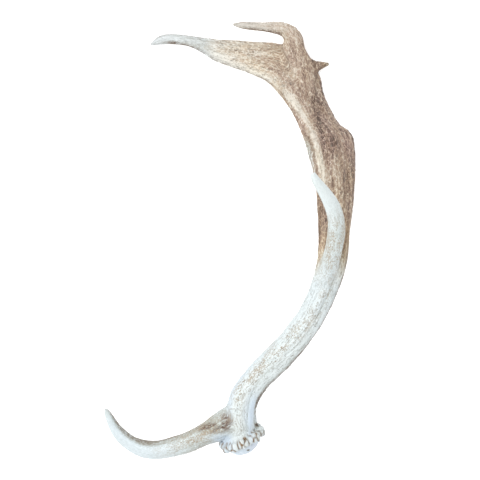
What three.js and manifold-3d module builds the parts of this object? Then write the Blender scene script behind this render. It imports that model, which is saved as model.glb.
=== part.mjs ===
// A shed deer antler, lying on its flat side: burr, main beam, brow tine, tray tine, palm,
// rear spur, long front crown tine and hooked top tine. Millimetres, +Z up.
//
// Every branch is a loft. Its stations give the two edges of the section and the depth
// across them, from the root to the tip. The branches are joined where they fork and the
// grown form is split there, so each length between forks is a mesh of its own.

import * as THREE from 'three';
import { mergeVertices } from 'three/addons/utils/BufferGeometryUtils.js';
import Module from 'manifold-3d';

const wasm = await Module();
wasm.setup();

// ---- driving dimensions, mm ----

const FORK_GAP = 0.3;            // between two lengths that meet at a fork

const BEAM_SIDES = 28;
const TINE_SIDES = 14;
const RINGS_PER_STATION = 2;

const GUTTER_DEPTH = 1;          // the gutters that run up the beam and palm
const GUTTER_COUNT = 7;
const TINE_GUTTER_DEPTH = 0.3;

const BURR_CENTRE = [15, -257, 35];
const BURR_AXIS = [-0.42, 0.89, 0.17];   // up the beam
const BURR_RADIUS = 28.5;
const BURR_THICKNESS = 11;
const PEARL_COUNT = 21;
const PEARL_RADIUS = 4.8;
const PEARL_VARIATION = 0.9;
const PEARL_INSET = 1.5;         // from the burr's rim in to the middle of a pearl
const SEAL_RADIUS = 23;          // the cast face under the burr
const SEAL_BULGE = 21;

// ---- the branches ----
// A station is [front edge, rear edge, depth across the edges, thickening of the front edge].
// Thickening moves the section's bulk to its front edge: 0 is an even oval.

const MAIN = [
  [[-5, -260, 34], [37, -244, 34], 39, 0],
  [[-7, -232, 40], [33, -224, 40], 38, 0],
  [[0, -196, 47], [36, -209, 47], 35, 0],
  [[24, -162, 55], [51, -186, 55], 35, 0],
  [[47, -138, 62], [75, -163, 62], 35, 0],
  [[87, -91, 73], [116, -110, 73], 37, 0],
  [[107, -44, 77], [142, -54, 76], 35, 0],
  [[112, -17, 76], [151, -22, 72], 31, 0.05],
  [[114, 10, 71], [155, 8, 64], 27, 0.1],
  [[113, 41, 64], [160, 41, 53], 24, 0.2],
  [[112, 67, 57], [163, 68, 42], 22, 0.25],
  [[108, 91, 49], [166, 95, 28], 21, 0.3],
  [[103, 113, 42], [166, 119, 16], 20, 0.3],
  [[98, 133, 37], [164, 138, 7], 19, 0.3],
  [[93, 144, 34], [158, 148, 4], 18, 0.3],
  [[88, 157, 31], [147, 155, 4], 17, 0.3],
  [[78, 175, 28], [133, 178, 5], 17, 0.25],
  [[66, 191, 25], [123, 199, 7], 17, 0.2],
  [[56, 201, 23], [118, 225, 8], 16, 0.2],
  [[46, 210, 22], [86, 257, 12], 15, 0.15],
  [[33, 217, 20], [54, 263, 14], 15, 0.1],
  [[20, 224, 19], [28, 264, 15], 14.5, 0],
  [[-2, 231, 18], [6, 266, 16], 14, 0],
  [[-23, 240, 16], [-15, 267, 16], 13, 0],
  [[-39, 251, 15], [-33, 269, 15], 12, 0],
  [[-56, 259, 13], [-53, 272, 13], 11.5, 0],
  [[-77, 262, 10], [-77, 275, 10], 11, 0],
  [[-92, 262, 7], [-94, 273, 7], 8.5, 0],
  [[-105, 261, 5], [-106, 263, 5], 3, 0],
];

const TOP_TINE = [
  [[92, 185, 20], [115, 189, 16], 9, 0],
  [[84, 213, 20], [114, 218, 15], 12, 0],
  [[77, 237, 20], [108, 240, 16], 14, 0],
  [[67, 257, 20], [99, 255, 18], 14.5, 0],
  [[71, 265, 22], [96, 269, 20], 14.5, 0],
  [[68, 270, 24], [86, 282, 23], 14.5, 0],
  [[60, 273, 26], [67, 289, 26], 13, 0],
  [[43, 276, 30], [44, 287, 30], 10.5, 0],
  [[25, 277, 35], [25, 287, 35], 8.5, 0],
  [[12, 279, 38], [13, 286, 38], 6, 0],
  [[4, 282, 40], [4, 284, 40], 2.5, 0],
];

const REAR_SPUR = [
  [[103, 244, 18], [108, 212, 12], 12, 0],
  [[112, 240, 16], [117, 224, 13], 9.5, 0],
  [[121, 238, 15], [123, 229, 14], 7.5, 0],
  [[130, 236, 14], [130, 233, 14], 3, 0],
];

const BROW_TINE = [
  [[13, -255, 37], [9, -208, 41], 33, 0],
  [[-13, -261, 38], [-11, -218, 40], 31, 0],
  [[-29, -265, 37], [-34, -236, 38], 27, 0],
  [[-50, -275, 34], [-56, -248, 35], 24, 0],
  [[-71, -281, 31], [-75, -255, 32], 23, 0],
  [[-92, -285, 29], [-93, -261, 29], 22, 0],
  [[-114, -284, 27], [-110, -261, 28], 21, 0],
  [[-134, -274, 27], [-125, -257, 28], 19, 0],
  [[-148, -262, 29], [-136, -249, 29], 16.5, 0],
  [[-157, -247, 32], [-145, -240, 32], 13, 0],
  [[-162, -232, 36], [-152, -229, 36], 10, 0],
  [[-164, -223, 38], [-157, -222, 38], 6.5, 0],
  [[-163, -218, 40], [-161, -218, 40], 2, 0],
];

const TRAY_TINE = [
  [[102, -81, 66], [122, -87, 66], 18, 0],
  [[107, -59, 77], [130, -64, 77], 25, 0],
  [[112, -39, 86], [135, -44, 86], 26, 0],
  [[116, -22, 96], [139, -25, 96], 25, 0],
  [[120, -6, 106], [142, -7, 106], 23, 0],
  [[122, 11, 116], [144, 11, 116], 22, 0],
  [[122, 26, 125], [142, 29, 125], 21, 0],
  [[118, 40, 134], [136, 46, 134], 19, 0],
  [[112, 53, 142], [127, 59, 142], 16, 0],
  [[106, 64, 149], [117, 70, 149], 12.5, 0],
  [[101, 73, 153], [110, 77, 153], 9.5, 0],
  [[99, 81, 156], [104, 84, 156], 4.5, 0],
];

// The forks: a point that the cut goes through, and the way the tine grows there.
const FORKS = {
  palm: { through: [134, 12, 68], towards: [0.05, 0.96, -0.28] },
  frontTine: { through: [66, 262, 20], towards: [-0.93, 0.37, 0] },
  topTine: { through: [70, 269, 22], towards: [-0.3, 0.95, 0.1] },
  browTine: { through: [-30, -247, 36], towards: [-0.95, -0.31, 0] },
  trayTine: { through: [132, 5, 107], towards: [0.05, 0.85, 0.52] },
};

// ---- lofts ----

// A smooth curve through one column of the stations.
function edgeCurve(stations, column) {
  const points = stations.map((station) => new THREE.Vector3(...station[column]));
  return new THREE.CatmullRomCurve3(points);
}

// Depth and thickening vary along the branch in the same way, as the x and y of a curve.
function sectionCurve(stations) {
  const points = stations.map(([, , depth, thickening]) => new THREE.Vector3(depth, thickening, 0));
  return new THREE.CatmullRomCurve3(points);
}

// One ring of the loft: an oval from edge to edge, with gutters along the branch.
function ringPoints(front, rear, growth, depth, thickening, sides, gutterDepth, sway) {
  const middle = front.clone().add(rear).multiplyScalar(0.5);
  const halfWidth = rear.clone().sub(front).multiplyScalar(0.5);
  const across = halfWidth.clone().cross(growth).normalize().multiplyScalar(depth / 2);
  const points = [];
  for (let side = 0; side < sides; side += 1) {
    const angle = (side / sides) * 2 * Math.PI;
    const gutter = 0.5 - 0.5 * Math.cos(GUTTER_COUNT * angle + sway);
    const scale = 1 - (gutterDepth * gutter) / (depth / 2 + gutterDepth);
    const thickness = Math.sin(angle) * (1 - thickening * Math.cos(angle));
    const point = middle.clone()
      .addScaledVector(halfWidth, scale * Math.cos(angle))
      .addScaledVector(across, scale * thickness);
    points.push(point);
  }
  return points;
}

// The closed skin of one branch, from its stations.
function branch(stations, sides, gutterDepth) {
  const frontEdge = edgeCurve(stations, 0);
  const rearEdge = edgeCurve(stations, 1);
  const section = sectionCurve(stations);
  const rings = (stations.length - 1) * RINGS_PER_STATION;
  const skin = [];
  for (let ring = 0; ring <= rings; ring += 1) {
    const along = ring / rings;
    const growth = frontEdge.getTangent(along).add(rearEdge.getTangent(along)).normalize();
    const { x: depth, y: thickening } = section.getPoint(along);
    const fade = Math.min(1, 3 * (1 - along));
    const sway = 2 * Math.sin(5 * along);
    skin.push(ringPoints(
      frontEdge.getPoint(along), rearEdge.getPoint(along), growth,
      depth, thickening, sides, gutterDepth * fade, sway,
    ));
  }
  return closedSkin(skin);
}

// Joins rings of equal length to one closed solid, with a point in the middle of each end.
function closedSkin(rings) {
  const sides = rings[0].length;
  const positions = rings.flat().flatMap((point) => point.toArray());
  const indices = [];
  for (let ring = 0; ring < rings.length - 1; ring += 1) {
    for (let side = 0; side < sides; side += 1) {
      const here = ring * sides + side;
      const beside = ring * sides + ((side + 1) % sides);
      indices.push(here, here + sides, beside, beside, here + sides, beside + sides);
    }
  }
  const ends = [rings[0], rings.at(-1)];
  for (const [end, ring] of ends.entries()) {
    const middle = new THREE.Vector3();
    ring.forEach((point) => middle.addScaledVector(point, 1 / sides));
    positions.push(...middle.toArray());
    const hub = rings.length * sides + end;
    const first = end === 0 ? 0 : (rings.length - 1) * sides;
    for (let side = 0; side < sides; side += 1) {
      const here = first + side;
      const beside = first + ((side + 1) % sides);
      indices.push(...(end === 0 ? [here, beside, hub] : [beside, here, hub]));
    }
  }
  const geometry = new THREE.BufferGeometry();
  geometry.setAttribute('position', new THREE.Float32BufferAttribute(positions, 3));
  geometry.setIndex(indices);
  return solidOf(geometry);
}

// ---- solids ----

// A closed geometry as a solid that can be joined and cut.
function solidOf(geometry) {
  const bare = geometry.clone();
  bare.deleteAttribute('normal');
  bare.deleteAttribute('uv');
  const merged = mergeVertices(bare, 1e-4);
  return new wasm.Manifold(new wasm.Mesh({
    numProp: 3,
    vertProperties: new Float32Array(merged.attributes.position.array),
    triVerts: new Uint32Array(merged.index.array),
  }));
}

// The length of a branch beyond a fork, and the root that is left on its parent.
function splitAt(solid, { through, towards }) {
  const normal = new THREE.Vector3(...towards).normalize();
  const offset = normal.dot(new THREE.Vector3(...through));
  const beyond = solid.trimByPlane(normal.toArray(), offset + FORK_GAP / 2);
  const root = solid.trimByPlane(normal.clone().negate().toArray(), FORK_GAP / 2 - offset);
  return { beyond, root };
}

function meshOf(name, solid, material) {
  const { vertProperties, triVerts } = solid.getMesh();
  const geometry = new THREE.BufferGeometry();
  geometry.setAttribute('position', new THREE.BufferAttribute(vertProperties, 3));
  geometry.setIndex(new THREE.BufferAttribute(triVerts, 1));
  const mesh = new THREE.Mesh(geometry, material);
  mesh.name = name;
  return mesh;
}

// ---- the burr ----

// The pearled ring and the cast face under it, in a frame with +Z up the beam.
function burr() {
  const pieces = [];
  const half = BURR_THICKNESS / 2;
  const flangeProfile = [
    [0, -half], [0.84 * BURR_RADIUS, -half], [0.97 * BURR_RADIUS, -0.6 * half],
    [BURR_RADIUS, 0], [0.97 * BURR_RADIUS, 0.6 * half], [0.84 * BURR_RADIUS, half], [0, half],
  ];
  const flange = new THREE.LatheGeometry(flangeProfile.map((point) => new THREE.Vector2(...point)), 24);
  flange.rotateX(Math.PI / 2);
  pieces.push(solidOf(flange));

  const seal = new THREE.SphereGeometry(1, 20, 12);
  seal.scale(SEAL_RADIUS, SEAL_RADIUS, SEAL_BULGE);
  pieces.push(solidOf(seal));

  for (let count = 0; count < PEARL_COUNT; count += 1) {
    const angle = (count / PEARL_COUNT) * 2 * Math.PI + 0.1 * Math.sin(3 * count);
    const size = PEARL_RADIUS + PEARL_VARIATION * Math.sin(2.3 * count);
    const pearl = new THREE.IcosahedronGeometry(size, 1);
    pearl.scale(1, 0.85, 1.3 + 0.2 * Math.sin(1.7 * count));
    pearl.rotateZ(angle);
    const reach = BURR_RADIUS - PEARL_INSET + 0.6 * Math.cos(4.1 * count);
    pearl.translate(reach * Math.cos(angle), reach * Math.sin(angle), Math.sin(5.3 * count));
    pieces.push(solidOf(pearl));
  }

  const axis = new THREE.Vector3(...BURR_AXIS).normalize();
  const turn = new THREE.Quaternion().setFromUnitVectors(new THREE.Vector3(0, 0, 1), axis);
  const place = new THREE.Matrix4()
    .compose(new THREE.Vector3(...BURR_CENTRE), turn, new THREE.Vector3(1, 1, 1));
  return wasm.Manifold.union(pieces).transform(place.toArray());
}

// ---- the grown form, split at its forks ----

const main = splitAt(branch(MAIN, BEAM_SIDES, GUTTER_DEPTH), FORKS.palm);
const crown = splitAt(main.beyond, FORKS.frontTine);
const topTine = splitAt(branch(TOP_TINE, TINE_SIDES, TINE_GUTTER_DEPTH), FORKS.topTine);
const browTine = splitAt(branch(BROW_TINE, TINE_SIDES, TINE_GUTTER_DEPTH), FORKS.browTine);
const trayTine = splitAt(branch(TRAY_TINE, TINE_SIDES, TINE_GUTTER_DEPTH), FORKS.trayTine);
const rearSpur = branch(REAR_SPUR, TINE_SIDES, 0);

const beamSolid = wasm.Manifold.union([main.root, browTine.root, trayTine.root, burr()]);
const palmSolid = wasm.Manifold.union([crown.root, topTine.root, rearSpur]);

// ---- materials ----

const bone = new THREE.MeshStandardMaterial({ color: 0xe6ecea, roughness: 0.55, metalness: 0 });
const stainedBone = new THREE.MeshStandardMaterial({ color: 0xa69789, roughness: 0.7, metalness: 0 });
const greyBone = new THREE.MeshStandardMaterial({ color: 0xd3d1c9, roughness: 0.6, metalness: 0 });

// ---- the antler ----

const antler = new THREE.Group();
antler.add(
  meshOf('beam', beamSolid, bone),
  meshOf('brow_tine', browTine.beyond, bone),
  meshOf('tray_tine', trayTine.beyond, bone),
  meshOf('palm', palmSolid, stainedBone),
  meshOf('front_tine', crown.beyond, greyBone),
  meshOf('top_tine', topTine.beyond, greyBone),
);

// The origin is under the middle of the antler, on the surface that it lies on.
const box = new THREE.Box3().setFromObject(antler);
const middle = box.getCenter(new THREE.Vector3());
antler.position.set(-middle.x, -middle.y, -box.min.z);

export default antler;
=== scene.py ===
"""The looks of a shed deer antler that lies on a pale floor.

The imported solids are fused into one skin, which is smoothed, given its grooves, pearls and
knobs, coloured by one procedural material, and parted again at the solids' own forks.
Shapes are worked out in millimetres and turned into metres when they become meshes.
"""

import math

import bmesh
import bpy
import numpy as np
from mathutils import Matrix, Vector, noise


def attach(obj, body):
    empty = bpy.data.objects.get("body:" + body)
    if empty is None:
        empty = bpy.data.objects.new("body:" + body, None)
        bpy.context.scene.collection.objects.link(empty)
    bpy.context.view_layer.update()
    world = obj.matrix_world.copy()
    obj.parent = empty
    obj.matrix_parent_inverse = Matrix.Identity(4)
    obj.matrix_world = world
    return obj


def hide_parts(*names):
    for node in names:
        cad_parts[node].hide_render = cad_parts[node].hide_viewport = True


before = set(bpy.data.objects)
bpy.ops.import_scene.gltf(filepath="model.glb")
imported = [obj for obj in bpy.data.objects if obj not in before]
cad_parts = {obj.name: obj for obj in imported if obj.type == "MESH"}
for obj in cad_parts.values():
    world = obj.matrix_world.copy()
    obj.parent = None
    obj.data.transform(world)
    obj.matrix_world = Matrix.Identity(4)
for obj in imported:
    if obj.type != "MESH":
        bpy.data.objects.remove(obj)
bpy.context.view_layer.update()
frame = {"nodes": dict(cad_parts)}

MM = 0.001

# ---- the grown form ----
# A station of a branch is [front edge, rear edge, depth across them], from root to tip, in mm.

BRANCHES = {
    "main": [
        [(-6, -262, 31), (36, -246, 31), 39],
        [(-1, -198, 44), (35, -211, 44), 35],
        [(23, -164, 52), (50, -188, 52), 35],
        [(46, -140, 59), (74, -165, 59), 35],
        [(86, -93, 70), (115, -112, 70), 37],
        [(106, -46, 74), (141, -56, 73), 35],
        [(113, 8, 68), (154, 6, 61), 27],
        [(111, 65, 54), (162, 66, 39), 22],
        [(102, 111, 39), (165, 117, 13), 20],
        [(92, 142, 31), (157, 146, 1), 18],
        [(77, 173, 25), (131, 175, 2), 17],
        [(56, 200, 20), (118, 223, 5), 16],
        [(46, 209, 19), (85, 253, 9), 15],
        [(33, 216, 17), (52, 259, 11), 15],
        [(-2, 231, 15), (5, 264, 13), 14],
        [(-39, 250, 12), (-34, 267, 12), 12],
        [(-78, 261, 7), (-78, 273, 7), 11],
        [(-106, 259, 2), (-107, 261, 2), 3],
    ],
    "brow": [
        [(12, -257, 34), (8, -210, 38), 33],
        [(-30, -267, 34), (-35, -238, 35), 27],
        [(-72, -283, 28), (-76, -257, 29), 23],
        [(-115, -286, 24), (-111, -263, 25), 21],
        [(-149, -264, 26), (-137, -251, 26), 17],
        [(-163, -234, 33), (-153, -231, 33), 10],
        [(-164, -220, 37), (-162, -220, 37), 2],
    ],
    "tray": [
        [(101, -83, 63), (121, -89, 63), 18],
        [(111, -41, 83), (134, -46, 83), 26],
        [(119, -8, 103), (141, -9, 103), 23],
        [(121, 24, 122), (141, 27, 122), 21],
        [(111, 51, 139), (126, 57, 139), 16],
        [(98, 79, 153), (103, 82, 153), 5],
    ],
    "top": [
        [(91, 183, 17), (114, 187, 13), 9],
        [(76, 235, 17), (107, 238, 13), 14],
        [(70, 264, 19), (94, 266, 17), 14],
        [(66, 270, 21), (84, 279, 20), 14],
        [(58, 274, 23), (66, 287, 23), 12],
        [(24, 276, 32), (24, 284, 32), 8],
        [(3, 280, 37), (3, 282, 37), 3],
    ],
}
STEPS_PER_STATION = 12

BURR_CENTRE = np.array([14.5, -258.9, 32.2])
BURR_AXIS = np.array([-0.42, 0.89, 0.17]) / math.hypot(-0.42, 0.89, 0.17)

# A fork is a point on the solids' cut, the way the tine grows there, and the middle and
# reach of the section that is cut.
FORKS = {
    "palm": [(133.5, 10.1, 65.2), (0.05, 0.96, -0.28), (133.5, 10.1, 65.2), 30],
    "front_tine": [(65.5, 260.1, 17.2), (-0.93, 0.37, 0), (57, 233, 17), 36],
    "top_tine": [(69.5, 267.1, 19.2), (-0.3, 0.95, 0.1), (80.5, 270, 19), 19],
    "brow_tine": [(-30.5, -248.9, 33.2), (-0.95, -0.31, 0), (-30.5, -250.9, 32), 25],
    "tray_tine": [(131.5, 3.1, 104.2), (0.05, 0.85, 0.52), (131, 1, 107), 19],
}
CUT_OFFSET = 0.15      # the solids' faces stand this far from the middle of a fork's cut
CUT_OVERLAP = 0.5      # each face is moved this far across it, so that the solids fuse
CUT_TOLERANCE = 0.05   # a vertex this near to a solid's face at a fork lies on it

VOXEL = 1.0            # mm
SMOOTHING_ROUNDS = 40
TINY = 1e-9            # keeps a vector without length from being divided by 0


def catmull_rom(stations, steps):
    """Points along the smooth curve through the rows of an array."""
    rows = np.array(stations, float).reshape(len(stations), -1)
    rows = np.vstack([2 * rows[0] - rows[1], rows, 2 * rows[-1] - rows[-2]])
    part = np.arange(steps)[:, None] / steps
    pieces = []
    for before, here, there, after in zip(rows, rows[1:], rows[2:], rows[3:]):
        slope = there - before
        bend = 2 * before - 5 * here + 4 * there - after
        twist = 3 * here - before - 3 * there + after
        pieces.append(here + 0.5 * (slope * part + bend * part**2 + twist * part**3))
    pieces.append(rows[-2:-1])
    return np.vstack(pieces)


def lengths(vectors):
    return np.linalg.norm(vectors, axis=1)


def unit(vectors):
    return vectors / np.maximum(lengths(vectors)[:, None], TINY)


def smooth_step(values, low, high):
    """0 at low and beyond it, 1 at high and beyond it, and a soft curve between."""
    part = np.clip((values - low) / (high - low), 0, 1)
    return part * part * (3 - 2 * part)


def near(points, middle, reach):
    """1 at a point, falling off to nothing at about twice the reach from it."""
    return np.exp(-(lengths((points - middle) / reach) ** 2))


def sampled(stations):
    """The sections of one branch, close together: middles, directions and half sizes."""
    front = catmull_rom([station[0] for station in stations], STEPS_PER_STATION)
    rear = catmull_rom([station[1] for station in stations], STEPS_PER_STATION)
    depth = catmull_rom([station[2] for station in stations], STEPS_PER_STATION)[:, 0]
    middle = (front + rear) / 2
    across = unit(rear - front)
    growth = unit(np.gradient(middle, axis=0))
    steps = lengths(np.diff(middle, axis=0))
    return {
        "middle": middle,
        "across": across,
        "through": unit(np.cross(across, growth)),
        "growth": growth,
        "half_width": lengths(rear - front) / 2,
        "half_depth": depth / 2,
        "along": np.concatenate([[0], np.cumsum(steps)]),
    }


SECTION_REACH = 10     # mm along a branch that count as much as its radius across


def seen_from(branch, points):
    """Where points lie in the nearest section of a branch, and how far out of it."""
    best = np.full(len(points), np.inf)
    index = np.zeros(len(points), int)
    for row in range(len(branch["along"])):
        away = points - branch["middle"][row]
        out = (away @ branch["across"][row] / branch["half_width"][row]) ** 2
        out += (away @ branch["through"][row] / branch["half_depth"][row]) ** 2
        out += (away @ branch["growth"][row] / SECTION_REACH) ** 2
        nearer = out < best
        best[nearer] = out[nearer]
        index[nearer] = row
    away = points - branch["middle"][index]
    half_width = branch["half_width"][index]
    return {
        "side": np.sum(away * branch["across"][index], axis=1) / half_width,
        "through": np.sum(away * branch["through"][index], axis=1),
        "along": branch["along"][index] + np.sum(away * branch["growth"][index], axis=1),
        "half_width": half_width,
        "out": np.sqrt(best),
    }


# ---- one skin ----

def add_object(name, data):
    """A new object in the scene."""
    made = bpy.data.objects.new(name, data)
    bpy.context.collection.objects.link(made)
    return made


def numbers(items, name, width):
    """A value of each item of a mesh, as rows of that width."""
    found = np.empty(len(items) * width)
    items.foreach_get(name, found)
    return found.reshape(-1, width)


def vertices_of(mesh):
    return numbers(mesh.vertices, "co", 3) / MM


def edges_of(mesh):
    return numbers(mesh.edges, "vertices", 2).astype(int)


def move_vertices(mesh, points):
    mesh.vertices.foreach_set("co", (points * MM).ravel())
    mesh.update()


def normals_of(mesh):
    return numbers(mesh.vertex_normals, "vector", 3)


def pushed_across(points):
    """A solid's vertices, with those on a fork's cut moved across it."""
    for through, towards, centre, reach in FORKS.values():
        direction = np.array(towards) / np.linalg.norm(towards)
        height = (points - through) @ direction
        on_cut = np.abs(np.abs(height) - CUT_OFFSET) < CUT_TOLERANCE
        on_cut &= lengths(points - centre) < reach
        points[on_cut] -= np.outer(np.sign(height[on_cut]) * CUT_OVERLAP, direction)
    return points


def fused_skin():
    """All the solids as one closed mesh of even, small faces."""
    points, faces, count = [], [], 0
    for node in frame["nodes"].values():
        corners = pushed_across(vertices_of(node.data))
        points.append(corners)
        faces += [[count + v for v in face.vertices] for face in node.data.polygons]
        count += len(corners)
    mesh = bpy.data.meshes.new("solids")
    mesh.from_pydata((np.vstack(points) * MM).tolist(), [], faces)
    solids = add_object("solids", mesh)
    remesh = solids.modifiers.new("fuse", "REMESH")
    remesh.mode = "VOXEL"
    remesh.voxel_size = VOXEL * MM
    graph = bpy.context.evaluated_depsgraph_get()
    skin = bpy.data.meshes.new_from_object(solids.evaluated_get(graph))
    bpy.data.objects.remove(solids)
    return skin


def relaxed(points, edges, factors, weight=1.0):
    """Moves points towards the middle of their neighbours, by each factor in turn."""
    ends = edges.ravel()
    others = edges[:, ::-1].ravel()
    count = np.bincount(ends, minlength=len(points))[:, None]
    for factor in factors:
        sums = [np.bincount(ends, points[others, axis], len(points)) for axis in range(3)]
        points = points + factor * weight * (np.stack(sums, axis=1) / count - points)
    return points


EVEN_OUT = (0.5, -0.53)    # a pair of factors that smooths without shrinking

# Crotches that are filled with a smooth web: a point in each, its reach and its strength.
CROTCHES = [
    [(-5, -212, 40), 11, 0.9],
    [(-6, -268, 34), 10, 1.0],
    [(122, -22, 82), 14, 1.0],
    [(67, 257, 19), 9, 0.3],
    [(70, 257, 17), 6, 0.5],
    [(84, 235, 18), 16, 1.0],
    [(110, 236, 13), 7, 0.6],
    [(116, 222, 10), 6, 0.7],
]
CROTCH_ROUNDS = 160
CROTCH_FACTOR = 0.5


def smooth_skin(mesh):
    """Takes the voxels' steps off a mesh and fills the crotches."""
    points = relaxed(vertices_of(mesh), edges_of(mesh), EVEN_OUT * SMOOTHING_ROUNDS)
    web = np.zeros(len(points))
    for middle, reach, strength in CROTCHES:
        web = np.maximum(web, strength * near(points, middle, reach))
    points = relaxed(points, edges_of(mesh), [CROTCH_FACTOR] * CROTCH_ROUNDS, web[:, None])
    move_vertices(mesh, points)


# ---- coordinates that grow with the antler ----

branches = {name: sampled(stations) for name, stations in BRANCHES.items()}
TINES = ("brow", "tray", "top")      # all grow from the main branch
BLEND_SHARPNESS = 8
# The burr is the main branch's own, so the tines are taken to be farther from it.
BURR_END = (6, 12)       # mm up the beam from the burr's middle, where the burr ends
BURR_REACH = 45          # mm from the burr's middle
BURR_DISTANCE = 3        # how much farther, in half sizes of a tine's section
# The grain's half width across a section: this part of the section's own, and these mm.
FAN_SHARE = 0.5
FAN_START = 10
STRAND_END = 20          # mm over which a strand fades at each end


def grain_coordinates(view):
    """Millimetres across, through and along a branch; across fans out where it is wide."""
    across = view["side"] * (FAN_SHARE * view["half_width"] + FAN_START)
    return np.stack([across, view["through"], view["along"]], axis=1)


class Growth:
    """Points, each branch's view and share of them, and the grain that they have in common."""

    def __init__(self, points):
        self.points = points
        self.views = {name: seen_from(branch, points) for name, branch in branches.items()}
        on_burr = 1 - smooth_step((points - BURR_CENTRE) @ BURR_AXIS, *BURR_END)
        on_burr *= lengths(points - BURR_CENTRE) < BURR_REACH
        for tine in TINES:
            self.views[tine]["out"] += BURR_DISTANCE * on_burr
        nearest = np.min([view["out"] for view in self.views.values()], axis=0)
        weights = {
            name: np.exp(BLEND_SHARPNESS * (nearest - view["out"]))
            for name, view in self.views.items()
        }
        total = sum(weights.values())
        self.shares = {name: weight / total for name, weight in weights.items()}
        self.grain = sum(self.shares[name][:, None] * self.own_grain(name) for name in branches)

    def own_grain(self, name):
        """The grain of one branch, which at a tine's root goes on from the main branch's."""
        coordinates = grain_coordinates(self.views[name])
        if name in TINES:
            root = branches[name]["middle"][:1]
            coordinates += grain_coordinates(seen_from(branches["main"], root))
        return coordinates

    def amount(self, tables, shape=None):
        """The value of those tables at each point, shared between the branches that meet."""
        total = np.zeros(len(self.points))
        for name, pairs in tables.items():
            places, values = zip(*pairs)
            value = self.shares[name] * np.interp(self.views[name]["along"], places, values)
            total += value if shape is None else value * shape(self.views[name])
        return total

    def strand(self, route, half_width):
        """1 on the line of a strand of the main branch and 0 well away from it."""
        view = self.views["main"]
        places, sides = zip(*route)
        away = (view["side"] - np.interp(view["along"], places, sides)) * view["half_width"]
        begun = smooth_step(view["along"], places[0] - STRAND_END, places[0])
        ended = smooth_step(view["along"], places[-1], places[-1] + STRAND_END)
        return self.shares["main"] * begun * (1 - ended) * np.exp(-((away / half_width) ** 2))


# ---- relief ----

SEED_STEP = 31.7             # how far apart in the noise two seeds lie
FRACTAL_DIMENSION = 1.0      # how much weaker each octave is than the one before
LACUNARITY = 2.0             # and how much finer
WAVE_HEIGHT = 1.6            # brings the noise to about -1 to 1
PEARL_TOP = 0.1              # how far from its middle a pearl's top goes, in parts of its size
PEARL_FOOT = 0.5             # and its foot


def noise_places(grain, size, seed):
    """Where to read a noise for waves of that size in mm across, through and along."""
    return (grain / size + seed * SEED_STEP).tolist()


def waves(grain, size, seed, octaves=1):
    """Smooth noise, about -1 to 1."""
    places = noise_places(grain, size, seed)
    found = [noise.fractal(place, FRACTAL_DIMENSION, LACUNARITY, octaves) for place in places]
    return np.array(found) * WAVE_HEIGHT


def valleys(grain, size, width, seed):
    """1 in the bottom of thin winding grooves that follow the grain, and 0 between them."""
    return np.exp(-((waves(grain, size, seed) / width) ** 2))


def pearls(grain, size, seed):
    """Small round knobs: 1 on top, 0 between them."""
    places = noise_places(grain, size, seed)
    apart = np.array([noise.voronoi(place)[0][0] for place in places])
    return smooth_step(-apart, -PEARL_FOOT, -PEARL_TOP)


# The waves of the relief, with their size in mm across, through and along the grain.
SWELL_WAVES = {"size": (16, 16, 70), "seed": 3}
GUTTER_WAVES = {"size": (7.5, 7.5, 120), "width": 0.17, "seed": 1}
FINE_GUTTER_WAVES = {"size": (3.2, 3.2, 45), "width": 0.2, "seed": 2}
PEARL_WAVES = {"size": (3.4, 3.4, 4.6), "seed": 4}
FIBRE_WAVES = {"size": (1.9, 1.9, 6), "seed": 5, "octaves": 2}
SEAL_WAVES = {"size": (4, 4, 4), "seed": 6, "octaves": 2}

# How deep or high each kind is in mm along each branch, as (mm from its root, value) pairs.
# The first and last values hold to the branch's ends. A branch left out has none.
GUTTERS = {
    "main": [(-10, 0.3), (15, 0.8), (300, 0.8), (360, 0.5), (560, 0.4), (640, 0.2), (720, 0)],
    "brow": [(70, 0.5), (120, 0.15), (200, 0)],
    "tray": [(0, 0.7), (60, 0.4), (120, 0.12), (190, 0)],
    "top": [(0, 0.35), (90, 0.3), (160, 0)],
}
PEARLS = {
    "main": [(-10, 0.1), (15, 0.08), (40, 0.15), (60, 0.35), (160, 0.28), (260, 0.2), (330, 0)],
    "brow": [(0, 0.2), (25, 0.45), (80, 0.45), (115, 0.1), (130, 0)],
    "tray": [(0, 0.3), (50, 0.2), (90, 0)],
}
FIBRES = {
    "main": [(0, 0.06), (240, 0.08), (320, 0.25), (560, 0.25), (620, 0.14), (700, 0.03)],
    "brow": [(0, 0.12), (60, 0.12), (120, 0.03), (211, 0)],
    "tray": [(0, 0.06), (60, 0.03), (199, 0)],
    "top": [(0, 0.18), (100, 0.12), (171, 0)],
}
SWELLS = {
    "main": [(0, 0.3), (300, 0.4), (380, 0.8), (560, 0.6), (700, 0)],
    "brow": [(0, 0.4), (211, 0)],
    "tray": [(0, 0.3), (199, 0)],
    "top": [(0, 0.4), (171, 0)],
}
FINE_GUTTER_DEPTH = 0.35     # of a gutter's depth
FINE_GUTTER_SOIL = 0.4       # of a gutter's soil

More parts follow.
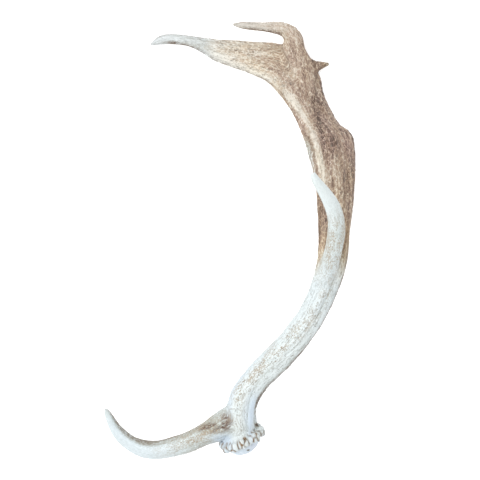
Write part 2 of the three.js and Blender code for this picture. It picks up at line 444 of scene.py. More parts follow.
# Single ridges and grooves of the main branch: where each runs, as (mm along, side) pairs
# with the side from -1 at the front edge to 1 at the rear, its half width in mm, how far
# it rises in mm, and what it adds to the tone, which in a groove is partly painted shade.
STRANDS = {
    "pale ridge on the palm": (
        [(371, -0.69), (393, -0.7), (416, -0.74), (458, -0.62), (482, -0.54), (505, -0.63)],
        6.0, 0.6, -0.75,
    ),
    "pale ridge under the crown": ([(525, -0.7), (560, -0.75), (640, -0.8)], 5.0, 0.6, -0.35),
    "dark groove behind it": (
        [(372, -0.29), (393, -0.35), (416, -0.46), (451, -0.29), (477, -0.05), (494, 0.19), (510, 0.3)],
        2.2, -0.7, 0.4,
    ),
    "warm ridge behind the groove": ([(345, -0.06), (373, -0.14), (394, -0.1), (410, 0)], 8.0, 0.4, -0.3),
    "groove in front of the ridge": (
        [(385, -0.85), (410, -0.86), (441, -0.85), (473, -0.73), (492, -0.79), (514, -0.87)],
        1.7, -0.6, 0.5,
    ),
    "bright line under the crown": (
        [(492, -0.7), (509, -0.82), (534, -0.83), (571, -0.9), (585, -0.84), (608, -0.74)],
        1.5, 0.4, -0.3,
    ),
    "ridge over the front tine": ([(560, 0.6), (585, 0.3), (612, -0.3), (640, -0.6)], 1.4, 0.4, -0.25),
    "smooth ridge above the burr": (
        [(10, 0.41), (23, 0.54), (38, 0.64), (56, 0.7), (74, 0.59), (89, 0.38)], 4.2, 0.5, 0,
    ),
    "second ridge above the burr": (
        [(14, -0.13), (35, -0.01), (48, 0.11), (63, 0.09), (79, -0.1)], 2.4, 0.4, -0.08,
    ),
    "gutter beside the smooth ridge": (
        [(13, 0.25), (34, 0.38), (49, 0.45), (66, 0.38), (82, 0.22), (105, 0.1)], 1.2, -0.6, 0.28,
    ),
    "gutter behind it": ([(20, 0.8), (38, 0.86), (56, 0.9), (90, 0.8), (160, 0.75)], 1.4, -0.5, 0.3),
    "gutter under the tray tine": ([(205, 0.33), (245, 0.35), (277, 0.52), (300, 0.7)], 1.3, -0.8, 0.3),
}

# The smooth hollow between the burr and the brow tine: its middle and its reach.
SMOOTH_PATCH = [(-13, -257, 44), (15, 8, 20)]

KNOB_COUNT = 32
KNOB_WIDTH = 2 * math.pi / KNOB_COUNT
KNOB_HEIGHT = 9.0            # mm
DOUBLE_KNOB = 3              # every third place has one knob above another
ROW_HEIGHT = 3.4             # mm that these two stand above and below the ring's middle
KNOB_SWAY = 0.3              # knob widths that a knob may be off its place
KNOB_LIFT = 1.6              # mm that it may be off the ring's middle
SWAY_TURN = 4.7              # these two make each knob differ from the next
LIFT_TURN = 2.9
RING_START = (20, 24)        # mm from the burr's axis, where the grooves begin and are whole
RING_EDGE = (6, 9)           # mm from the burr's middle, where they fade and end
BURR_GROOVE_WIDTH = 0.42     # knob widths
BURR_GROOVE_DEPTH = 2.0      # mm

SEAL_HEIGHT = (-9, -5)       # mm up the beam from the burr's middle, where the seal ends
SEAL_RADIUS = (30, 36)       # mm from the burr's axis, the same
SEAL_ROUGHNESS = 0.35        # mm
FLESH = 0.5                  # mm that make up for what the grooves and the smoothing take away

RIM_BAND = (1.0, 3.6)        # mm from the edge, where a rim line is whole and where it ends
REAR_RIM_FADE = (-8, -2)     # mm from the section's middle, where the rear line ends below it


def front_band(low, high):
    """A shape across a branch: 0 up to low and 1 from high on, where the middle is at 0 and
    the front edge at 1."""
    return lambda view: smooth_step(-view["side"], low, high)


def rear_band(low, high):
    """The same towards the rear edge."""
    return lambda view: smooth_step(view["side"], low, high)


def front_line(view):
    """1 on the front edge of a branch, and 0 further from it than the rim reaches."""
    return 1 - smooth_step((1 + view["side"]) * view["half_width"], *RIM_BAND)


def rear_line(view):
    """The same on the rear edge, where it fades out below the middle of the section."""
    line = 1 - smooth_step((1 - view["side"]) * view["half_width"], *RIM_BAND)
    return line * smooth_step(view["through"], *REAR_RIM_FADE)


def burr_coordinates(points):
    """Height up the beam from the burr's middle, distance from its axis, and angle round it."""
    away = points - BURR_CENTRE
    height = away @ BURR_AXIS
    out = away - np.outer(height, BURR_AXIS)
    sideways = unit(np.cross([[0, 0, 1]], BURR_AXIS[None]))[0]
    angle = np.arctan2(out @ np.cross(BURR_AXIS, sideways), out @ sideways)
    return height, lengths(out), angle


def seal_cover(points):
    """1 on the rough end of the antler, inside the burr, and 0 elsewhere."""
    height, radius, _ = burr_coordinates(points)
    return (1 - smooth_step(height, *SEAL_HEIGHT)) * (1 - smooth_step(radius, *SEAL_RADIUS))


def burr_grooves(points):
    """1 in the bottom of the short winding grooves between the knobs of the burr."""
    height, radius, angle = burr_coordinates(points)
    on_ring = smooth_step(radius, *RING_START) * (1 - smooth_step(np.abs(height), *RING_EDGE))
    on_ring *= 1 - near(points, *SMOOTH_PATCH)
    distances = []
    for knob in range(KNOB_COUNT):
        for row in (-1, 1) if knob % DOUBLE_KNOB == 0 else (0,):
            place = knob + KNOB_SWAY * math.sin(SWAY_TURN * knob + row)
            turn = angle - KNOB_WIDTH * place + math.pi
            turn = (turn + math.pi) % (2 * math.pi) - math.pi
            rise = height - ROW_HEIGHT * row - KNOB_LIFT * math.sin(LIFT_TURN * knob)
            distances.append(np.hypot(turn / KNOB_WIDTH, rise / KNOB_HEIGHT))
    nearest, second = np.partition(distances, 1, axis=0)[:2]
    return on_ring * (1 - smooth_step(second - nearest, 0.0, BURR_GROOVE_WIDTH))


def relief(growth):
    """How far the skin rises, in mm, and how deep each point lies in a groove."""
    points, grain, amount = growth.points, growth.grain, growth.amount
    gutter = valleys(grain, **GUTTER_WAVES)
    fine_gutter = valleys(grain, **FINE_GUTTER_WAVES)
    burr = burr_grooves(points)
    height = amount(SWELLS) * waves(grain, **SWELL_WAVES)
    height -= amount(GUTTERS) * (gutter + FINE_GUTTER_DEPTH * fine_gutter)
    height += amount(PEARLS) * pearls(grain, **PEARL_WAVES)
    height += amount(FIBRES) * waves(grain, **FIBRE_WAVES)
    for route, half_width, rise, _ in STRANDS.values():
        height += rise * growth.strand(route, half_width)
    height += FLESH - BURR_GROOVE_DEPTH * burr
    height += SEAL_ROUGHNESS * seal_cover(points) * waves(points, **SEAL_WAVES)
    groove = amount(GUTTERS) * (gutter + FINE_GUTTER_SOIL * fine_gutter)
    return height, {"gutter": groove, "burr": burr}


# ---- paint ----
# Tone runs from 0, clean pale bone, to 1, brown, and past it to dark.

TONE = {
    "main": [
        (-20, 0), (0, 0.05), (60, 0.03), (200, 0.03), (245, 0.08), (268, 0.4), (290, 0.9),
        (340, 1.0), (385, 0.95), (434, 1.12), (480, 1.0), (520, 0.8), (555, 0.7), (585, 0.58),
        (615, 0.44), (645, 0.36), (690, 0.2), (735, 0.08),
    ],
    "brow": [
        (0, 0.1), (25, 0.28), (60, 0.29), (82, 0.14), (110, 0.08), (160, 0.13), (200, 0.12),
        (211, 0.25),
    ],
    "tray": [(50, 0.1), (80, 0.18), (110, 0.28), (130, 0.14), (150, 0.07), (199, 0.04)],
    "top": [(0, 0.95), (60, 0.85), (90, 0.58), (120, 0.32), (145, 0.2), (171, 0.1)],
}
# What is added to the tone in a band along each edge of a branch: partly painted edge shade, partly the
# bone's own lighter or darker edges.
FRONT_EDGE_TONE_AND_SHADE = {
    "main": [
        (0, 0.1), (255, 0.15), (270, 0.3), (340, 0.25), (370, -0.1), (400, -0.65), (480, -0.5),
        (520, -0.1), (660, -0.15), (685, 0.1),
    ],
    "tray": [(0, 0.1), (40, 0.3), (85, 0.25), (170, 0.25), (199, 0.1)],
    "top": [(85, 0), (105, 0.3), (130, 0.45), (160, 0.45), (171, 0)],
}
REAR_EDGE_TONE_AND_SHADE = {
    "main": [
        (18, 0), (35, 0.5), (60, 0.35), (100, 0.25), (150, 0.25), (200, 0.36), (240, 0.5),
        (256, 0.1), (275, -0.35), (335, -0.35), (365, 0.15), (480, 0.3), (540, 0), (560, -0.2),
        (590, -0.1), (620, 0.1),
    ],
    "tray": [(60, -0.05), (100, 0.1)],
    "top": [(0, 0.1), (50, 0.2), (70, 0.6), (90, 0.4), (171, 0.35)],
}
EDGE_BAND = (0.7, 1.0)     # where it begins and is whole, from 0 in the middle to 1 at the edge
# Painted shade in a wider band, as under the front tine and inside the brow tine's bow, and lighter bone
# where it is below 0.
FRONT_SHADE = {
    "main": [
        (430, 0), (450, -0.15), (510, -0.2), (540, -0.1), (600, 0), (665, 0), (685, 0.22),
        (703, 0.22), (722, 0),
    ],
    "brow": [(35, 0), (50, 0.2), (80, 0.15), (100, 0)],
}
REAR_SHADE = {
    "main": [(460, 0), (480, 0.15), (540, 0.2), (565, 0.1), (590, -0.15), (615, -0.1), (640, 0)],
    "brow": [(20, 0.1), (60, 0.4), (110, 0.6), (125, 0.7), (170, 0.55), (211, 0.35)],
    "top": [(30, 0), (50, 0.2), (75, 0.35), (90, 0.1), (110, 0.2), (125, 0.05), (171, 0)],
}
SHADE_BAND = (0.25, 0.85)
# Painted edge shade: a thin dark line along each edge.
FRONT_RIM_SHADE = {
    "main": [
        (250, 0), (300, 0.5), (450, 0.4), (495, 0.9), (580, 0.7), (625, 0.5), (655, 0.35),
        (670, 0.8), (682, 1.3), (700, 1.3), (712, 0.5), (730, 0.1),
    ],
    "top": [(80, 0), (110, 0.8), (150, 0.7), (166, 0.1)],
}
REAR_RIM_SHADE = {
    "main": [
        (14, 0), (30, 1), (120, 1), (160, 1.4), (250, 1.4), (290, 0.7), (520, 0.9), (560, 0.3),
        (650, 0.4), (735, 0.35),
    ],
    "brow": [(20, 0), (60, 0.5), (211, 0.6)],
    "top": [(0, 0.6), (145, 0.5), (160, 0.1)],
}
# How blue the clean bone is along the beam's front edge, on its rear above the burr, and
# all over.
BLUE_EDGE = {"main": [(0, 0.5), (60, 0.7), (110, 0.25), (200, 0.1), (260, 0)]}
BLUE_REAR = {"main": [(12, 0), (25, 0.35), (60, 0.3), (95, 0)]}
BLUE_BAND = (0.5, 0.85)
BLUE_REAR_BAND = (0, 0.3)
BLUE = {
    "main": [(150, 0), (200, 0.1), (245, 0.2), (270, 0)],
    "brow": [(65, 0), (90, 0.15), (120, 0.35), (190, 0.35), (211, 0.1)],
    "tray": [(60, 0.2), (90, 0)],
}
# How much whiter and bluer the bone is than the stained bone of the palm.
COOL = {
    "main": [(235, 1), (285, 0), (610, 0), (645, 0.35), (662, 0.9), (735, 1)],
    "brow": [(0, 1)],
    "tray": [(0, 1)],
    "top": [(95, 0), (130, 0.2), (171, 0.3)],
}
# How much greyer the bone is in the band along the front edge of the palm.
COOL_EDGE = {"main": [(370, 0), (410, 0.8), (490, 0.8), (510, 0.3), (640, 0.2)]}
# How plain the speckles are.
SPECKLES = {
    "main": [
        (-5, 0), (10, 0.15), (28, 0.25), (48, 0.8), (110, 0.8), (140, 0.9), (190, 0.65),
        (240, 0.35), (290, 0.1), (300, 0),
    ],
    "brow": [(0, 0.5), (30, 1), (65, 0.9), (95, 0.5), (115, 0.2), (140, 0)],
    "tray": [(0, 0.3), (50, 0.4), (80, 0.8), (120, 0.8), (150, 0)],
}
# Where the bands of speckles run up the beam and the brow tine, as (mm along, side) pairs,
# and how wide they are, in sides.
SPECKLE_BANDS = {
    "main": ([(0, -0.3), (27, -0.6), (60, -0.42), (120, -0.42), (170, -0.2), (210, 0.1), (260, 0)], 0.5),
    "brow": ([(0, 0), (60, 0.1), (110, 0.1)], 0.8),
}
# How plain the hair lines are.
HAIRLINES = {
    "main": [(-5, 0), (10, 0.9), (240, 1), (300, 0.6), (400, 0.8), (640, 0.9), (735, 0.5)],
    "brow": [(90, 0.6), (130, 0.15), (211, 0.1)],
    "tray": [(0, 0.6), (60, 0.5), (130, 0.4), (199, 0.1)],
    "top": [(0, 0.4), (171, 0.8)],
}
# Patches: the middle, the reach and how much is added.
TONE_PATCHES = [
    [(114, 222, 12), (8, 12, 12), 0.12],
    [(129, 233, 14), (10, 7, 9), -0.8],
    [(141, 128, 28), (16, 12, 20), 0.05],
    [(114, 179, 10), (10, 17, 14), 0.32],
    [(107, 131, 36), (8, 16, 14), -0.08],
    [(150, 15, 66), (8, 20, 16), -0.07],
    # painted shadow in the deep crevice on the burr's rear side
    [(35.5, -240.5, 36), (2.4, 2.2, 12), 3.0],
    # painted shade in a small notch in the seal
    [(23, -272, 48), (1.5, 1.1, 6), 1.8],
    [(30, -268, 44), (8, 4, 10), 0.1],
    [(131, 145, 25), (14, 16, 20), -0.08],
    [(99, 206, 12), (16, 14, 14), -0.06],
    [(131, -63, 87), (7, 24, 16), 0.1],
    [(119, -25, 103), (9, 16, 14), 0.06],
    [(105, 112, 42), (7, 30, 20), 0.2],
    [(131, 115, 25), (12, 12, 20), 0.2],
    [(135, 92, 32), (16, 14, 20), -0.25],
    [(90, 232, 14), (18, 12, 14), -0.15],
]
# Warm yellow above 0 and purplish grey below it.
HUE = {
    "main": [
        (240, 0), (270, 0.5), (330, 0.25), (380, 0.1), (420, -0.3), (480, -0.25), (520, 0.1),
        (570, 0.2), (640, 0), (665, -0.3), (735, -0.45),
    ],
    "top": [(0, 0.3), (90, 0), (120, -0.4), (171, -0.3)],
}
HUE_PATCHES = [
    [(80, 215, 15), (22, 14, 14), 0.5],
    [(140, 80, 38), (18, 22, 20), 0.5],
    [(141, 128, 28), (20, 14, 20), -0.5],
    [(118, 170, 10), (12, 20, 14), -0.4],
    [(99, 206, 12), (16, 14, 14), -0.6],
    [(50, 245, 18), (30, 12, 14), 0.1],
    [(-22, -244, 48), (24, 9, 14), 0.7],
    [(130, 233, 14), (9, 7, 9), 0.9],
    [(30, -268, 44), (8, 4, 10), -0.8],
    [(148, -5, 72), (10, 35, 20), 0.8],
    [(117, 0, 76), (8, 30, 20), 0.6],
]
# The knobs at the rear end of the burr, which have less soil between them: partly their own cleaner look,
# partly painted light on a lobe that the studio light leaves in shade.
CLEANER_AND_PAINT_LIT_KNOBS = [(38, -248, 44), (8, 8, 16)]
# Where the brow tine's root has veins.
VEIN_PATCHES = [
    [(-22, -244, 48), (18, 6, 14)],
    [(-5, -236, 46), (7, 10, 14)],
]

# Clouds in the paint, with their size in mm across, through and along.
TONE_CLOUDS = {"size": (16, 16, 40), "seed": 11}
HUE_CLOUDS = {"size": (12, 12, 30), "seed": 21}
SOIL_CLOUDS = {"size": (6, 6, 6), "seed": 31}
SEAL_CLOUDS = {"size": (5, 5, 5), "seed": 32, "octaves": 2}
TONE_CLOUDING = 0.15
HUE_CLOUDING = 0.5
SEAL_CLOUDING = 0.07
STAIN_SPAN = (0.2, 0.8)      # tones, where stained bone begins and where all is stained
RIDGE_BLUE = 0.65            # what the smooth ridge, the hollow and the seal add to the blue
RIDGE_BLUE_END = (50, 80)    # mm up the beam, where the ridge's blue starts to fade and ends
HOLLOW_BLUE = 1.2
SEAL_BLUE = 0.85
BURR_SOIL = 1.15
SOIL_CLOUDING = 0.8
CLEANING_AND_PAINTED_LIGHT = 0.6
GUTTER_SOIL = 0.5
VEIN_STRENGTH = 2.0


def patches(points, entries):
    """What those patches add at each point."""
    return sum(change * near(points, middle, reach) for middle, reach, change in entries)


def tone_of(growth, stained, on_seal):
    """How dark the bone is, with the painted shade along the edges and in hollows."""
    amount = growth.amount
    tone = amount(TONE) + TONE_CLOUDING * waves(growth.grain, **TONE_CLOUDS) * stained
    # the edge bands: painted edge shade, partly the bone's own lighter or darker edges
    tone += amount(FRONT_EDGE_TONE_AND_SHADE, front_band(*EDGE_BAND))
    tone += amount(REAR_EDGE_TONE_AND_SHADE, rear_band(*EDGE_BAND))
    # the wider bands: painted shade, and lighter bone where they are below 0
    tone += amount(FRONT_SHADE, front_band(*SHADE_BAND))
    tone += amount(REAR_SHADE, rear_band(*SHADE_BAND))
    tone += patches(growth.points, TONE_PATCHES)
    # the strands' tone: in the grooves partly painted shade
    for route, half_width, _, change in STRANDS.values():
        tone += change * growth.strand(route, half_width)
    return tone + SEAL_CLOUDING * on_seal * waves(growth.points, **SEAL_CLOUDS)


def speckles_of(growth):
    """How plain the speckles are, fading off on both sides of their bands."""
    speckle = growth.amount(SPECKLES)
    for name, (route, width) in SPECKLE_BANDS.items():
        view = growth.views[name]
        places, sides = zip(*route)
        off_band = (view["side"] - np.interp(view["along"], places, sides)) / width
        speckle *= 1 - growth.shares[name] * (1 - np.exp(-(off_band**2)))
    return speckle


def blue_of(growth, smooth_patch, on_seal):
    """How blue the clean bone is, from 0 to 1."""
    amount = growth.amount
    ridge, half_width, _, _ = STRANDS["smooth ridge above the burr"]
    ridge_end = smooth_step(growth.views["main"]["along"], *RIDGE_BLUE_END)
    blue = amount(BLUE) + RIDGE_BLUE * growth.strand(ridge, half_width) * (1 - ridge_end)
    blue += amount(BLUE_EDGE, front_band(*BLUE_BAND))
    blue += amount(BLUE_REAR, rear_band(*BLUE_REAR_BAND))
    return np.clip(blue + HOLLOW_BLUE * smooth_patch + SEAL_BLUE * on_seal, 0, 1)


def soil_of(growth, grooves, stained):
    """How much soil lies in the grooves, from 0 to 1."""
    patchy = BURR_SOIL + SOIL_CLOUDING * waves(growth.points, **SOIL_CLOUDS)
    # less soil on the burr's rear knobs: partly cleaner knobs, partly painted light on a shaded lobe
    soil = patchy * grooves["burr"] * (1 - CLEANING_AND_PAINTED_LIGHT * near(growth.points, *CLEANER_AND_PAINT_LIT_KNOBS))
    return np.clip(soil + GUTTER_SOIL * grooves["gutter"] * stained, 0, 1)


def paint(growth, grooves):
    """The painted values at each point, by name."""
    points, amount = growth.points, growth.amount
    stained = smooth_step(amount(TONE), *STAIN_SPAN)
    smooth_patch = near(points, *SMOOTH_PATCH)
    on_seal = seal_cover(points)
    blue = blue_of(growth, smooth_patch, on_seal)
    hue = amount(HUE) + HUE_CLOUDING * waves(growth.grain, **HUE_CLOUDS) * stained
    hue += patches(points, HUE_PATCHES)
    veins = np.max([near(points, *patch) for patch in VEIN_PATCHES], axis=0)
    return {
        "tone": tone_of(growth, stained, on_seal),
        "yellow": np.clip(hue, 0, 1),
        "purple": np.clip(-hue, 0, 1),
        "cool": np.clip(amount(COOL) + amount(COOL_EDGE, front_band(*EDGE_BAND)), 0, 1),
        "blue": blue,
        "speckle": speckles_of(growth) * (1 - smooth_patch),
        "soil": soil_of(growth, grooves, stained),
        "veins": np.clip(VEIN_STRENGTH * veins, 0, 1) * (1 - blue),
        # the rim: painted edge shade, drawn as thin dark lines
        "rim": amount(FRONT_RIM_SHADE, front_line) + amount(REAR_RIM_SHADE, rear_line),
        "hairlines": amount(HAIRLINES) * (1 - blue),
    }


LIGHT_ON_FLOOR = 1.62      # how bright a white surface comes out under the studio light


def pigment(red, green, blue):
    """The shader's colour that comes out under the studio light as that one, in sRGB."""
    parts = np.array([red, green, blue]) / 255
    light = np.where(parts < 0.04045, parts / 12.92, ((parts + 0.055) / 1.055) ** 2.4)
    return (*(light / LIGHT_ON_FLOOR), 1)


# The colours of stained bone by tone, from 0 to the span's end at 1.
TONE_SPAN = 1.5
STAINED_COLOURS = [
    (0.0, (250, 243, 228)),
    (0.12, (237, 226, 208)),
    (0.27, (220, 203, 182)),
    (0.47, (192, 168, 147)),
    (0.67, (162, 138, 122)),
    (0.85, (128, 105, 93)),
    (1.0, (96, 77, 67)),
]
# The same for the clean bone of the beam and lower tines, which is whiter and bluer.
PALE_COLOURS = [
    (0.0, (244, 253, 253)),
    (0.12, (227, 237, 236)),
    (0.27, (202, 206, 199)),
    (0.5, (160, 152, 136)),
    (1.0, (92, 76, 66)),
]
# What a painted value multiplies the colour by where it is 1.
TINTS = {
    "yellow": (1.03, 0.98, 0.85, 1),
    "purple": (0.98, 0.92, 0.95, 1),
    "blue": (0.855, 0.911, 1.036, 1),
}
SPECKLE_COLOUR = pigment(184, 168, 145)
HAIRLINE_COLOUR = pigment(150, 143, 130)
VEIN_COLOUR = pigment(92, 58, 38)
# the colour of the painted edge shade along the rims
RIM_SHADE_COLOUR = pigment(112, 90, 70)
SOIL_COLOUR = pigment(142, 110, 74)

# The material's noises and lines, with their size in mm across, through and along the grain.
FIBRE = {"size": (1.7, 1.7, 5.5), "detail": 3, "distortion": 0.8}
STREAK = {"size": (3, 3, 40), "detail": 3, "distortion": 0.3}
SPECK = {"size": (1.2, 1.2, 2.2), "detail": 2, "distortion": 0.4}
CLUSTER = {"size": (9, 9, 20), "detail": 1}
NET = {"size": (3.4, 5, 8), "width": 0.15, "wobble": 1.2}
HAIRS = {"size": (1.7, 1.7, 22), "width": 0.042}
WIDE_VEINS = {"size": (5.2, 5.2, 15), "width": 0.15}
FINE_VEINS = {"size": (2.6, 2.6, 8), "width": 0.08}
FINE_VEIN_STRENGTH = 0.7
HAIR_BREAKS = (0.4, 0.6)     # the specks' noise, where a hair line starts and where it is whole
RIM_BREAKS = (0.36, 0.56)    # the fibres' noise, the same for a rim line
DOT_SPAN = (0.78, 0.92)      # the specks' and clusters' noise, the same for a speckle
CLUSTER_SHARE = 0.6

# How much each noise swings the tone, and how much more where the bone is darker or stained.
SWING_START = 0.05
FIBRE_SWING = 1.1
STREAK_SWING = 1.2
SPECK_SWING = 0.9
NET_SWING = -0.45
CONTRAST_START = 0.2
TONE_CONTRAST = 0.55
STAIN_CONTRAST = 0.45

ROUGHNESS_START = 0.42
TONE_ROUGHNESS = 0.2
FIBRE_ROUGHNESS = 0.15
SPECK_BUMP = 0.4
NET_BUMP = 0.25
BUMP_STRENGTH = 0.8
BUMP_HEIGHT = 0.6            # mm

# The numbers of a Mix node's colour sockets, whose names other sockets have too.
MIX_INPUTS = (0, 6, 7)
MIX_RESULT = 2


def fill_input(tree, socket, value):
    """Gives an input a value, or links it to another node's output."""
    if isinstance(value, bpy.types.NodeSocket):
        tree.links.new(value, socket)
    else:
        socket.default_value = value


def add_node(tree, kind, inputs=(), **settings):
    """A node with these settings; an input is a value or another node's output."""
    made = tree.nodes.new("ShaderNode" + kind)
    for name, value in settings.items():
        setattr(made, name, value)
    for name, value in dict(inputs).items():
        fill_input(tree, made.inputs[name], value)
    return made


def calculate(tree, operation, *values):
    """The result of a Math node."""
    inputs = dict(enumerate(values))
    return add_node(tree, "Math", inputs, operation=operation).outputs[0]


def times(tree, first, second):
    return calculate(tree, "MULTIPLY", first, second)


def added(tree, total, *products):
    """A value plus the product of each (value, factor) pair."""
    for value, factor in products:
        total = calculate(tree, "MULTIPLY_ADD", value, factor, total)
    return total


def painted(tree, name):
    """A painted value of the skin."""
    return add_node(tree, "Attribute", attribute_name=name).outputs["Fac"]


def scaled(tree, grain, size):
    """The grain's coordinates in units of that size, in mm across, through and along."""
    scale = [1 / part for part in size]
    return add_node(tree, "Mapping", {"Vector": grain, "Scale": scale}).outputs[0]


def grain_noise(tree, grain, size, detail, distortion=0.0):
    """Noise from 0 to 1 with waves of that size in mm across, through and along the grain."""
    place = scaled(tree, grain, size)
    inputs = {"Vector": place, "Scale": 1.0, "Detail": detail, "Distortion": distortion}
    return add_node(tree, "TexNoise", inputs).outputs[0]


def mixed(tree, factor, first, second, blend="MIX"):
    """Two colours mixed: the first where the factor is 0, and their whole blend where it is 1."""
    node = add_node(tree, "Mix", data_type="RGBA", blend_type=blend)
    for number, value in zip(MIX_INPUTS, (factor, first, second)):
        fill_input(tree, node.inputs[number], value)
    return node.outputs[MIX_RESULT]


def stepped(tree, value, low, high):
    """0 up to low, 1 from high on, and a soft curve between."""
    inputs = {"Value": value, "From Min": low, "From Max": high}
    return add_node(tree, "MapRange", inputs, interpolation_type="SMOOTHSTEP").outputs[0]


def colour_ramp(tree, value, colours):
    """The pigment at a value, from (place, colour) pairs."""
    ramp = add_node(tree, "ValToRGB", {"Fac": value})
    stops = ramp.color_ramp.elements
    while len(stops) < len(colours):
        stops.new(0.5)     # each is moved to its own place below
    for stop, (place, colour) in zip(stops, colours):
        stop.position = place
        stop.color = pigment(*colour)
    return ramp.outputs[0]


def centred(tree, value):
    """A value from 0 to 1 as one from -0.5 to 0.5."""
    return calculate(tree, "SUBTRACT", value, 0.5)


def lines(tree, grain, size, width):
    """1 on thin winding lines that follow the grain, and 0 between them."""
    off_middle = centred(tree, grain_noise(tree, grain, size, detail=2, distortion=0.5))
    apart = calculate(tree, "ABSOLUTE", off_middle)
    return calculate(tree, "SUBTRACT", 1.0, stepped(tree, apart, 0.0, width))


def web(tree, grain, size, width, wobble):
    """1 on a net of long meshes that follow the grain, and 0 between them."""
    place = scaled(tree, grain, size)
    inputs = {"Vector": place, "Scale": 1.0, "Detail": 2.0}
    bends = add_node(tree, "TexNoise", inputs).outputs["Color"]
    inputs = {0: bends, 1: (wobble,) * 3, 2: place}
    bent_place = add_node(tree, "VectorMath", inputs, operation="MULTIPLY_ADD").outputs[0]
    inputs = {"Vector": bent_place, "Scale": 1.0}
    edge = add_node(tree, "TexVoronoi", inputs, feature="DISTANCE_TO_EDGE").outputs["Distance"]
    return calculate(tree, "SUBTRACT", 1.0, stepped(tree, edge, 0.0, width))


def bone_colour(tree, tone, fibre, streak, speck, net):
    """The bone's own colour by its tone, which the fibres, streaks, specks and net change."""
    cool = painted(tree, "cool")
    stained = calculate(tree, "SUBTRACT", 1.0, cool)
    contrast = added(tree, CONTRAST_START, (tone, TONE_CONTRAST), (stained, STAIN_CONTRAST))
    swing = added(
        tree, SWING_START,
        (centred(tree, fibre), FIBRE_SWING), (centred(tree, streak), STREAK_SWING),
        (centred(tree, speck), SPECK_SWING), (net, NET_SWING),
    )
    place = calculate(tree, "DIVIDE", added(tree, tone, (swing, contrast)), TONE_SPAN)
    stained_colour = colour_ramp(tree, place, STAINED_COLOURS)
    pale_colour = colour_ramp(tree, place, PALE_COLOURS)
    colour = mixed(tree, cool, stained_colour, pale_colour)
    for name, tint in TINTS.items():
        colour = mixed(tree, painted(tree, name), colour, tint, "MULTIPLY")
    return colour


def hair_lines(tree, grain, speck):
    """Thin broken lines along the grain."""
    hairs = times(tree, lines(tree, grain, **HAIRS), painted(tree, "hairlines"))
    return times(tree, hairs, stepped(tree, speck, *HAIR_BREAKS))


def vein_lines(tree, grain):
    """Winding veins of two widths."""
    fine = times(tree, lines(tree, grain, **FINE_VEINS), FINE_VEIN_STRENGTH)
    both = calculate(tree, "MAXIMUM", lines(tree, grain, **WIDE_VEINS), fine)
    return times(tree, both, painted(tree, "veins"))


def rim_shade_lines(tree, fibre):
    """Painted shade along the edges, as dark lines which the fibres break up."""
    return times(tree, stepped(tree, fibre, *RIM_BREAKS), painted(tree, "rim"))


def speckles(tree, speck, cluster):
    """Small dots that stand in clusters."""
    clustered = added(tree, speck, (cluster, CLUSTER_SHARE))
    return times(tree, stepped(tree, clustered, *DOT_SPAN), painted(tree, "speckle"))


def bone_material():
    """The antler's one material, which follows the grain and the paint of its skin."""
    material = bpy.data.materials.new("antler_bone")
    material.use_nodes = True
    tree = material.node_tree
    shader = tree.nodes["Principled BSDF"]
    grain = add_node(tree, "Attribute", attribute_name="grain").outputs["Vector"]
    fibre, streak, speck, cluster = (
        grain_noise(tree, grain, **look) for look in (FIBRE, STREAK, SPECK, CLUSTER)
    )
    net = web(tree, grain, **NET)
    tone = painted(tree, "tone")
    hairs = hair_lines(tree, grain, speck)
    veins = vein_lines(tree, grain)

    colour = bone_colour(tree, tone, fibre, streak, speck, net)
    for factor, mark_colour in (
        (hairs, HAIRLINE_COLOUR),
        (veins, VEIN_COLOUR),
        # the rim lines are painted edge shade
        (rim_shade_lines(tree, fibre), RIM_SHADE_COLOUR),
        (speckles(tree, speck, cluster), SPECKLE_COLOUR),
        (painted(tree, "soil"), SOIL_COLOUR),
    ):
        colour = mixed(tree, factor, colour, mark_colour)
    tree.links.new(colour, shader.inputs["Base Color"])

    roughness = added(tree, ROUGHNESS_START, (tone, TONE_ROUGHNESS), (fibre, FIBRE_ROUGHNESS))
    tree.links.new(roughness, shader.inputs["Roughness"])
    height = added(tree, fibre, (speck, SPECK_BUMP), (net, NET_BUMP))
    height = calculate(tree, "SUBTRACT", height, calculate(tree, "MAXIMUM", hairs, veins))
    inputs = {"Height": height, "Strength": BUMP_STRENGTH, "Distance": BUMP_HEIGHT * MM}
    tree.links.new(add_node(tree, "Bump", inputs).outputs[0], shader.inputs["Normal"])
    return material


# ---- parting the skin ----

CUT_SNAP = 1e-8        # metres from a fork's plane within which a vertex counts as on it


def cut_at_fork(form, through, towards, middle, reach):
    """Cuts one section of the form along a fork's plane and closes both sides of the cut."""
    centre = Vector(middle) * MM
    corners = {corner for corner in form.verts if (corner.co - centre).length < reach * MM}
    faces = {face for corner in corners for face in corner.link_faces}
    edges = {edge for face in faces for edge in face.edges}
    corners = {corner for face in faces for corner in face.verts}
    cut = bmesh.ops.bisect_plane(
        form, geom=[*corners, *edges, *faces], dist=CUT_SNAP,
        plane_co=Vector(through) * MM, plane_no=Vector(towards).normalized(),
    )
    loop = [item for item in cut["geom_cut"] if isinstance(item, bmesh.types.BMEdge)]
    bmesh.ops.split_edges(form, edges=loop)
    rims = [edge for edge in form.edges if edge.is_boundary]
    caps = bmesh.ops.holes_fill(form, edges=rims, sides=0)["faces"]     # 0 for any number
    for cap in caps:
        cap.smooth = False
        for edge in cap.edges:
            edge.smooth = False
    bmesh.ops.triangulate(form, faces=caps)


def same_body(form, start):
    """The faces that hang together with a vertex."""
    seen, found, border = {start}, set(), [start]
    while border:
        faces = {face for corner in border for face in corner.link_faces} - found
        found |= faces
        border = [corner for face in faces for corner in face.verts if corner not in seen]
        seen.update(border)
    return found


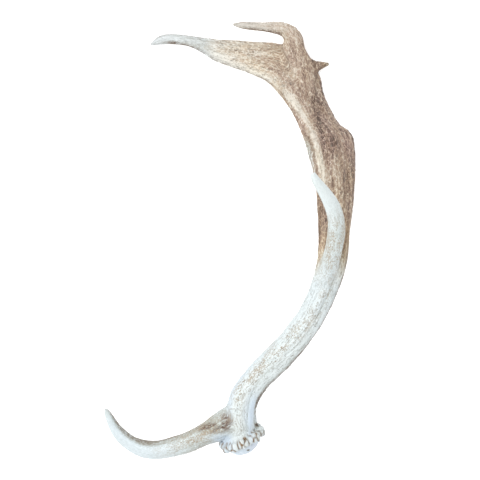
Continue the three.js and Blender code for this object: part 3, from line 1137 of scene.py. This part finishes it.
def mark_owners(form):
    """Numbers each face, from 1, by the solid that its part of the skin replaces."""
    form.verts.ensure_lookup_table()
    places = np.array([corner.co for corner in form.verts]) / MM
    owner = form.faces.layers.int.new("owner")
    for number, node in enumerate(frame["nodes"].values(), 1):
        middle = vertices_of(node.data).mean(axis=0)
        start = form.verts[int(lengths(places - middle).argmin())]
        for face in same_body(form, start):
            face[owner] = number


def owned_part(form, number, name):
    """A mesh of the faces with that number."""
    part = form.copy()
    owner = part.faces.layers.int["owner"]
    others = [face for face in part.faces if face[owner] != number]
    bmesh.ops.delete(part, geom=others, context="FACES")
    part.faces.layers.int.remove(part.faces.layers.int["owner"])
    mesh = bpy.data.meshes.new(name)
    part.to_mesh(mesh)
    part.free()
    return mesh


def parted(mesh):
    """One mesh for each of the solids, cut out of the skin at the forks."""
    form = bmesh.new()
    form.from_mesh(mesh)
    for face in form.faces:
        face.smooth = True
    for fork in FORKS.values():
        cut_at_fork(form, *fork)
    mark_owners(form)
    pieces = {
        name: owned_part(form, number, name + "_skin")
        for number, name in enumerate(frame["nodes"], 1)
    }
    form.free()
    return pieces


# ---- the antler ----

def write_attribute(mesh, name, values):
    """Keeps a number or a vector for each vertex of a mesh."""
    kind, field = ("FLOAT", "value") if values.ndim == 1 else ("FLOAT_VECTOR", "vector")
    layer = mesh.attributes.new(name, kind, "POINT")
    layer.data.foreach_set(field, values.ravel())


def antler_skin():
    """The skin of the whole antler, with its relief and the attributes of its material."""
    skin = fused_skin()
    smooth_skin(skin)
    growth = Growth(vertices_of(skin))
    height, grooves = relief(growth)
    move_vertices(skin, growth.points + normals_of(skin) * height[:, None])
    write_attribute(skin, "grain", growth.grain)
    for name, values in paint(growth, grooves).items():
        write_attribute(skin, name, values)
    return skin


bone = bone_material()
for name, mesh in parted(antler_skin()).items():
    piece = add_object(name + "_skin", mesh)
    mesh.materials.append(bone)
    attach(piece, "root")
    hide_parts(name)

# ---- camera, floor and light, in metres ----

CAMERA_PLACE = (0.01247, 0.0001, 1.7752)
LENS = 100               # mm
SENSOR_WIDTH = 36        # mm
FLOOR_REACH = 4
FLOOR_HEIGHT = -0.0005
FLOOR_LOOK = {
    "Base Color": (0.9, 0.9, 0.9, 1),
    "Roughness": 0.9,
    "Emission Color": (1, 1, 1, 1),
    "Emission Strength": 0.3,
}
KEY_PLACE = (-0.9, 0.25, 1.9)
KEY_SIZE = 1.6
KEY_POWER = 32           # watts
WORLD_LOOK = {"Color": (1, 1, 1, 1), "Strength": 1.1}


def add_camera():
    """The camera, straight above the antler as in the photo."""
    camera_data = bpy.data.cameras.new("camera")
    camera_data.lens = LENS
    camera_data.sensor_width = SENSOR_WIDTH
    camera = add_object("camera", camera_data)
    camera.location = CAMERA_PLACE
    bpy.context.scene.camera = camera


def set_inputs(node, look):
    """Gives a node's inputs their values, by name."""
    for name, value in look.items():
        node.inputs[name].default_value = value


def add_floor():
    """A wide pale floor that glows a little, so that the shadows stay light."""
    mesh = bpy.data.meshes.new("floor")
    corners = [
        (x * FLOOR_REACH, y * FLOOR_REACH, FLOOR_HEIGHT)
        for x, y in ((-1, -1), (1, -1), (1, 1), (-1, 1))
    ]
    mesh.from_pydata(corners, [], [(0, 1, 2, 3)])
    material = bpy.data.materials.new("floor")
    material.use_nodes = True
    set_inputs(material.node_tree.nodes["Principled BSDF"], FLOOR_LOOK)
    mesh.materials.append(material)
    plane = add_object("floor", mesh)


def add_light():
    """A large soft light above and to the left, which faces the origin, and a white world."""
    key_data = bpy.data.lights.new("key", "AREA")
    key_data.energy = KEY_POWER
    key_data.size = KEY_SIZE
    key = add_object("key", key_data)
    key.location = KEY_PLACE
    key.rotation_euler = (-key.location).to_track_quat("-Z", "Y").to_euler()
    world = bpy.data.worlds.new("studio")
    world.use_nodes = True
    set_inputs(world.node_tree.nodes["Background"], WORLD_LOOK)
    bpy.context.scene.world = world
    bpy.context.scene.view_settings.view_transform = "Standard"


add_camera()
add_floor()
add_light()
